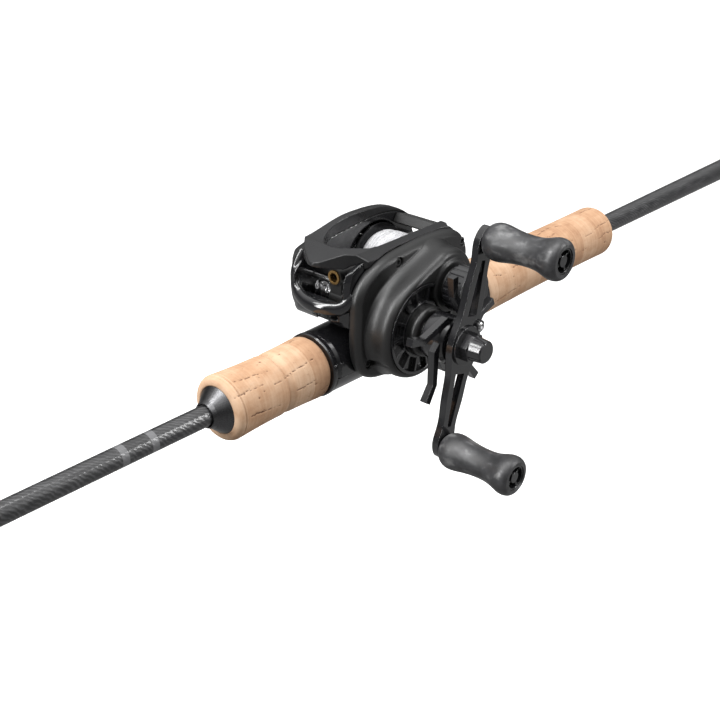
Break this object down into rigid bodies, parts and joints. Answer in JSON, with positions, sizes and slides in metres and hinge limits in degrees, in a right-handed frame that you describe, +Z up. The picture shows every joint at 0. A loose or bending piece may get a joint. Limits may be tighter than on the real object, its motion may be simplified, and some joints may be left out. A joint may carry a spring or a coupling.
{
  "type": "fishing rod and reel",
  "caption": "Two-piece casting rod with cork grips, trigger reel seat and ring guides, carrying a low-profile baitcasting reel with a double-knob handle, star drag and line guide.",
  "frame": {"origin": "centre of the butt end, on the rod's axis", "axes": "+X from the tip towards the butt along the rod, +Y towards the reel's palm side, +Z up through the reel and guides"},
  "size_m": [2.106, 0.1193, 0.1042],
  "materials": {
    "cork": "natural cork, fine sanded",
    "carbon_blank": "lacquered carbon fibre",
    "gloss_black": "high gloss",
    "matte_black": "satin black coating",
    "graphite": "matte graphite coating",
    "gunmetal": "anodised gunmetal",
    "steel": "machined",
    "stainless": "polished stainless",
    "brass": "machined brass",
    "gold_ceramic": "gold-coloured hard ring",
    "spool_alloy": "dark anodised",
    "braid": "braided line, silver grey",
    "grip_resin": "dark mottled, slightly glossy",
    "soft_rubber": "soft black rubber",
    "guide_ceramic": "polished ceramic",
    "thread": "thread under clear varnish",
    "drag_cloth": "carbon-cloth washer",
    "case_black": "satin black, lightly textured"
  },
  "bodies": {
    "rod": {"butt_blank": "carbon_blank", "butt_cap": "soft_rubber", "butt_grip": "cork", "rear_grip": "cork", "rear_check": "gloss_black", "reel_seat": "gloss_black", "stripper_frame": "gunmetal", "stripper_ring": "guide_ceramic", "thread_wraps_butt": "thread", "frame": "gloss_black", "reel_foot": "stainless", "front_hood": "graphite", "gear_case": "case_black", "spoke_ring": "gloss_black", "palm_plate": "graphite", "brake_ring": "steel", "plate_screws": "matte_black", "spool_bearings": "stainless", "yoke_springs": "steel", "one_way_bearing": "steel", "guide_bar": "stainless"},
    "tip_section": {"tip_blank": "carbon_blank", "guide_frames": "gunmetal", "guide_rings": "guide_ceramic", "thread_wraps_tip": "thread", "tip_top_frame": "gunmetal", "tip_top_ring": "guide_ceramic"},
    "seat_hood": {"sliding_hood": "gloss_black"},
    "fore_grip": {"foregrip": "cork", "lock_nut": "gloss_black", "winding_check": "gunmetal"},
    "crank": {"drive_shaft": "stainless", "drive_gear": "brass", "drag_washers": "drag_cloth", "drag_springs": "steel", "drive_cog": "matte_black", "crank_arm": "gloss_black", "handle_nut": "gloss_black", "nut_retainer": "gloss_black", "retainer_screw": "stainless", "knob_spindles": "stainless", "knob_bearings": "stainless"},
    "star": {"star_drag": "gloss_black"},
    "upper_knob": {"knob_upper": "grip_resin", "knob_cap_upper": "gloss_black"},
    "lower_knob": {"knob_lower": "grip_resin", "knob_cap_lower": "gloss_black"},
    "spool_group": {"spool": "spool_alloy", "line_pack": "braid", "spool_shaft": "stainless"},
    "yoke": {"clutch_yoke": "steel"},
    "pinion": {"pinion_gear": "brass"},
    "worm": {"worm_shaft": "steel", "worm_cog": "matte_black"},
    "idler": {"idler_cog": "matte_black"},
    "carriage": {"line_guide": "matte_black", "guide_inserts": "gold_ceramic"},
    "thumb_lever": {"thumb_bar": "matte_black"},
    "cast_cap": {"cast_control_cap": "gloss_black"},
    "brake_knob": {"brake_dial": "matte_black"}
  },
  "joints": [
    {"name": "ferrule_slide", "type": "slide", "parent": "rod", "child": "tip_section", "axis": [-1, 0, 0], "range_m": [0, 0.06]},
    {"name": "hood_slide", "type": "slide", "parent": "rod", "child": "seat_hood", "axis": [-1, 0, 0], "range_m": [0, 0.0081]},
    {"name": "foregrip_screw", "type": "hinge", "parent": "seat_hood", "child": "fore_grip", "pos_m": [-0.48, 0, 0], "axis": [-1, 0, 0], "range_deg": [0, 1440]},
    {"name": "crank_spin", "type": "hinge", "parent": "rod", "child": "crank", "pos_m": [-0.423, -0.04, 0.0145], "axis": [0, 1, 0], "continuous": true},
    {"name": "star_turn", "type": "hinge", "parent": "crank", "child": "star", "pos_m": [-0.423, -0.045, 0.0145], "axis": [0, 1, 0], "range_deg": [-360, 360]},
    {"name": "upper_knob_spin", "type": "hinge", "parent": "crank", "child": "upper_knob", "pos_m": [-0.41135, -0.07, 0.05797], "axis": [0, 1, 0], "continuous": true},
    {"name": "lower_knob_spin", "type": "hinge", "parent": "crank", "child": "lower_knob", "pos_m": [-0.43465, -0.07, -0.02897], "axis": [0, 1, 0], "continuous": true},
    {"name": "spool_spin", "type": "hinge", "parent": "rod", "child": "spool_group", "pos_m": [-0.404, 0, 0.02875], "axis": [0, 1, 0], "continuous": true},
    {"name": "clutch_shift", "type": "slide", "parent": "rod", "child": "yoke", "axis": [0, -1, 0], "range_m": [0, 0.0016], "deforming": ["yoke_springs"]},
    {"name": "pinion_spin", "type": "hinge", "parent": "yoke", "child": "pinion", "pos_m": [-0.404, -0.02, 0.02875], "axis": [0, 1, 0], "continuous": true},
    {"name": "worm_spin", "type": "hinge", "parent": "rod", "child": "worm", "pos_m": [-0.44159, 0, 0.02771], "axis": [0, 1, 0], "continuous": true},
    {"name": "idler_spin", "type": "hinge", "parent": "rod", "child": "idler", "pos_m": [-0.43327, -0.017, 0.0218], "axis": [0, 1, 0], "continuous": true},
    {"name": "level_wind", "type": "slide", "parent": "rod", "child": "carriage", "axis": [0, 1, 0], "range_m": [-0.0052, 0.0098]},
    {"name": "thumb_press", "type": "slide", "parent": "rod", "child": "thumb_lever", "axis": [0.5, 0, -0.866], "range_m": [0, 0.004]},
    {"name": "cast_control", "type": "hinge", "parent": "rod", "child": "cast_cap", "pos_m": [-0.404, -0.04, 0.02875], "axis": [0, 1, 0], "range_deg": [-180, 180]},
    {"name": "brake_turn", "type": "hinge", "parent": "rod", "child": "brake_knob", "pos_m": [-0.404, 0.025, 0.02875], "axis": [0, 1, 0], "range_deg": [0, 270]}
  ],
  "couplings": [
    {"joint": "hood_slide", "follows": "foregrip_screw", "m_per_rad": 0.00031831},
    {"joint": "spool_spin", "follows": "crank_spin", "ratio": -6.3077},
    {"joint": "pinion_spin", "follows": "crank_spin", "ratio": -6.3077},
    {"joint": "idler_spin", "follows": "crank_spin", "ratio": -2},
    {"joint": "worm_spin", "follows": "crank_spin", "ratio": 1.4},
    {"joint": "clutch_shift", "follows": "thumb_press", "ratio": 0.4}
  ]
}
